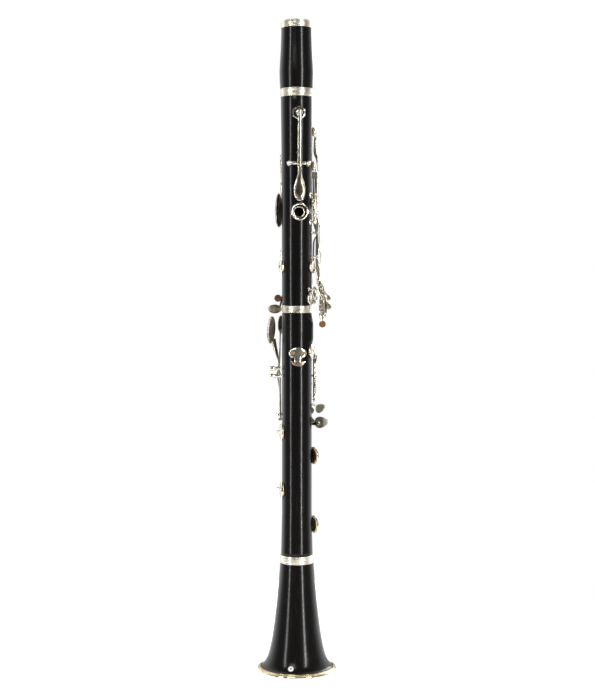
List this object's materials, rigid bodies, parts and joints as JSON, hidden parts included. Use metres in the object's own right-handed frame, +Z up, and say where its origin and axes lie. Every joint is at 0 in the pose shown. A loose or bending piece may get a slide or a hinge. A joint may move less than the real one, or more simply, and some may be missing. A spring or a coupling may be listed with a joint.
{
  "type": "clarinet",
  "caption": "Boehm-system soprano clarinet without mouthpiece: black wood barrel, two joints and bell with nickel silver rings, posts and working keys, standing on its bell.",
  "frame": {"origin": "centre of the bell's rim, at its bottom face, on the bore axis", "axes": "+Z up the bore towards the mouthpiece end; -Y is the thumb side with the register key and thumb rest; +Y is the side with the finger holes; +X is the player's right"},
  "size_m": [0.0734, 0.0734, 0.59],
  "materials": {
    "blackwood": "polished oiled blackwood",
    "nickel_silver": "polished nickel silver",
    "aged_nickel_silver": "worn nickel silver touches",
    "cork": "natural tenon cork, greased",
    "pad_skin": "bladder skin over felt",
    "inlay": "small round pearl-like inlay",
    "screw_steel": "dull brass screw"
  },
  "bodies": {
    "upper_joint": {"upper_joint": "blackwood", "upper_tenon_cork": "cork", "middle_tenon_cork": "cork", "register_vent": "nickel_silver", "thumb_bush": "nickel_silver", "register_key_posts": "nickel_silver", "thumb_ring_posts": "nickel_silver", "throat_a_posts": "nickel_silver", "throat_g_sharp_posts": "nickel_silver", "upper_ring_posts": "nickel_silver", "cross_e_flat_posts": "nickel_silver", "c_sharp_posts": "nickel_silver", "trill_key_posts": "nickel_silver", "side_key_3_posts": "nickel_silver", "side_key_4_posts": "nickel_silver"},
    "barrel": {"barrel": "blackwood", "barrel_top_ring": "nickel_silver", "barrel_bottom_ring": "nickel_silver"},
    "lower_joint": {"lower_joint": "blackwood", "lower_joint_socket_ring": "nickel_silver", "lower_tenon_cork": "cork", "thumb_rest": "nickel_silver", "thumb_rest_screw_left": "screw_steel", "thumb_rest_screw_right": "screw_steel", "lower_ring_posts": "nickel_silver", "cross_f_sharp_posts": "nickel_silver", "a_flat_posts": "nickel_silver", "f_sharp_posts": "nickel_silver", "f_posts": "nickel_silver", "e_posts": "nickel_silver", "left_lever_post_upper": "nickel_silver", "left_lever_post_lower": "nickel_silver"},
    "bell": {"bell": "blackwood", "bell_socket_ring": "nickel_silver", "bell_rim_ring": "nickel_silver", "bell_inlay": "inlay"},
    "register_key": {"register_key": "nickel_silver"},
    "thumb_ring_key": {"thumb_ring_key": "nickel_silver"},
    "throat_a_key": {"throat_a_key": "nickel_silver"},
    "throat_g_sharp_key": {"throat_g_sharp_key": "aged_nickel_silver"},
    "first_ring_key": {"first_ring_key": "nickel_silver"},
    "second_ring_key": {"second_ring_key": "nickel_silver"},
    "cross_e_flat_key": {"cross_e_flat_key": "nickel_silver"},
    "c_sharp_key": {"c_sharp_key": "aged_nickel_silver"},
    "side_key_1": {"side_key_1": "nickel_silver"},
    "side_key_2": {"side_key_2": "nickel_silver"},
    "side_key_3": {"side_key_3": "nickel_silver"},
    "side_key_4": {"side_key_4": "nickel_silver"},
    "lower_ring_key": {"lower_ring_key": "nickel_silver"},
    "cross_f_sharp_key": {"cross_f_sharp_key": "nickel_silver"},
    "a_flat_key": {"a_flat_key": "aged_nickel_silver", "a_flat_pad": "pad_skin"},
    "f_sharp_key": {"f_sharp_key": "aged_nickel_silver", "f_sharp_pad": "pad_skin"},
    "f_key": {"f_key": "aged_nickel_silver", "f_pad": "pad_skin"},
    "e_key": {"e_key": "aged_nickel_silver", "e_pad": "pad_skin"},
    "left_e_lever": {"left_e_lever": "aged_nickel_silver"},
    "left_f_sharp_lever": {"left_f_sharp_lever": "aged_nickel_silver"}
  },
  "joints": [
    {"name": "barrel_slide", "type": "slide", "parent": "upper_joint", "child": "barrel", "axis": [0, 0, 1], "range_m": [0, 0.016]},
    {"name": "lower_joint_slide", "type": "slide", "parent": "upper_joint", "child": "lower_joint", "axis": [0, 0, -1], "range_m": [0, 0.016]},
    {"name": "bell_slide", "type": "slide", "parent": "lower_joint", "child": "bell", "axis": [0, 0, -1], "range_m": [0, 0.014]},
    {"name": "register_key_hinge", "type": "hinge", "parent": "upper_joint", "child": "register_key", "pos_m": [0.00216, -0.01686, 0.4614], "axis": [0.9919, 0.1271, 0], "range_deg": [0, 4.5], "stiffness_Nm_per_rad": 0.03, "springref_deg": -17.19},
    {"name": "thumb_ring_key_hinge", "type": "hinge", "parent": "upper_joint", "child": "thumb_ring_key", "pos_m": [0.01617, -0.00878, 0.4213], "axis": [0, 0, -1], "range_deg": [0, 5.5], "stiffness_Nm_per_rad": 0.03, "springref_deg": -17.19},
    {"name": "throat_a_key_hinge", "type": "hinge", "parent": "upper_joint", "child": "throat_a_key", "pos_m": [0, 0.0176, 0.474], "axis": [-1, 0, 0], "range_deg": [0, 4.5], "stiffness_Nm_per_rad": 0.03, "springref_deg": -17.19},
    {"name": "throat_g_sharp_key_hinge", "type": "hinge", "parent": "upper_joint", "child": "throat_g_sharp_key", "pos_m": [-0.01379, 0.01157, 0.44], "axis": [0, 0, 1], "range_deg": [0, 11], "stiffness_Nm_per_rad": 0.03, "springref_deg": -17.19},
    {"name": "first_ring_key_hinge", "type": "hinge", "parent": "upper_joint", "child": "first_ring_key", "pos_m": [0.01245, 0.01382, 0.436], "axis": [0, 0, 1], "range_deg": [0, 6.5], "stiffness_Nm_per_rad": 0.03, "springref_deg": -17.19},
    {"name": "second_ring_key_hinge", "type": "hinge", "parent": "upper_joint", "child": "second_ring_key", "pos_m": [0.01245, 0.01382, 0.382], "axis": [0, 0, 1], "range_deg": [0, 6.5], "stiffness_Nm_per_rad": 0.03, "springref_deg": -17.19},
    {"name": "cross_e_flat_key_hinge", "type": "hinge", "parent": "upper_joint", "child": "cross_e_flat_key", "pos_m": [-0.01341, 0.01125, 0.37], "axis": [0, 0, -1], "range_deg": [0, 9], "stiffness_Nm_per_rad": 0.03, "springref_deg": -17.19},
    {"name": "c_sharp_key_hinge", "type": "hinge", "parent": "upper_joint", "child": "c_sharp_key", "pos_m": [0.01632, 0.00659, 0.3432], "axis": [0, 0, 1], "range_deg": [0, 6], "stiffness_Nm_per_rad": 0.03, "springref_deg": -17.19},
    {"name": "side_key_1_hinge", "type": "hinge", "parent": "upper_joint", "child": "side_key_1", "pos_m": [0.01819, -0.00064, 0.4], "axis": [0.0349, 0.9994, 0], "range_deg": [0, 2], "stiffness_Nm_per_rad": 0.03, "springref_deg": -17.19},
    {"name": "side_key_2_hinge", "type": "hinge", "parent": "upper_joint", "child": "side_key_2", "pos_m": [0.01819, -0.00064, 0.4], "axis": [0.0349, 0.9994, 0], "range_deg": [0, 2], "stiffness_Nm_per_rad": 0.03, "springref_deg": -17.19},
    {"name": "side_key_3_hinge", "type": "hinge", "parent": "upper_joint", "child": "side_key_3", "pos_m": [0.01819, -0.00064, 0.3778], "axis": [0.0349, 0.9994, 0], "range_deg": [0, 2.6], "stiffness_Nm_per_rad": 0.03, "springref_deg": -17.19},
    {"name": "side_key_4_hinge", "type": "hinge", "parent": "upper_joint", "child": "side_key_4", "pos_m": [0.01819, -0.00064, 0.3487], "axis": [0.0349, 0.9994, 0], "range_deg": [0, 5], "stiffness_Nm_per_rad": 0.03, "springref_deg": -17.19},
    {"name": "lower_ring_key_hinge", "type": "hinge", "parent": "lower_joint", "child": "lower_ring_key", "pos_m": [0.01245, 0.01382, 0.285], "axis": [0, 0, 1], "range_deg": [0, 6.5], "stiffness_Nm_per_rad": 0.03, "springref_deg": -17.19},
    {"name": "cross_f_sharp_key_hinge", "type": "hinge", "parent": "lower_joint", "child": "cross_f_sharp_key", "pos_m": [0.01623, 0.00656, 0.267], "axis": [0, 0, 1], "range_deg": [0, 9], "stiffness_Nm_per_rad": 0.03, "springref_deg": -17.19},
    {"name": "a_flat_key_hinge", "type": "hinge", "parent": "lower_joint", "child": "a_flat_key", "pos_m": [-0.01032, 0.01474, 0.227], "axis": [0, 0, -1], "range_deg": [0, 8], "stiffness_Nm_per_rad": 0.03, "springref_deg": -17.19},
    {"name": "f_sharp_key_hinge", "type": "hinge", "parent": "lower_joint", "child": "f_sharp_key", "pos_m": [-0.0025, 0.01783, 0.202], "axis": [0, 0, -1], "range_deg": [0, 7], "stiffness_Nm_per_rad": 0.03, "springref_deg": -17.19},
    {"name": "f_key_hinge", "type": "hinge", "parent": "lower_joint", "child": "f_key", "pos_m": [0.00954, 0.01527, 0.21], "axis": [0, 0, -1], "range_deg": [0, 12.5], "stiffness_Nm_per_rad": 0.03, "springref_deg": -17.19},
    {"name": "e_key_hinge", "type": "hinge", "parent": "lower_joint", "child": "e_key", "pos_m": [0.00466, 0.01739, 0.183], "axis": [0, 0, -1], "range_deg": [0, 10.5], "stiffness_Nm_per_rad": 0.03, "springref_deg": -17.19},
    {"name": "left_e_lever_hinge", "type": "hinge", "parent": "lower_joint", "child": "left_e_lever", "pos_m": [-0.017, 0.004, 0.2769], "axis": [0, 1, 0], "range_deg": [0, 3.6], "stiffness_Nm_per_rad": 0.03, "springref_deg": -17.19},
    {"name": "left_f_sharp_lever_hinge", "type": "hinge", "parent": "lower_joint", "child": "left_f_sharp_lever", "pos_m": [-0.0182, 0.0081, 0.2699], "axis": [0, 1, 0], "range_deg": [0, 2], "stiffness_Nm_per_rad": 0.03, "springref_deg": -17.19}
  ],
  "couplings": [
    {"joint": "left_e_lever_hinge", "follows": "e_key_hinge", "ratio": 0.33},
    {"joint": "left_f_sharp_lever_hinge", "follows": "f_sharp_key_hinge", "ratio": 0.25}
  ]
}
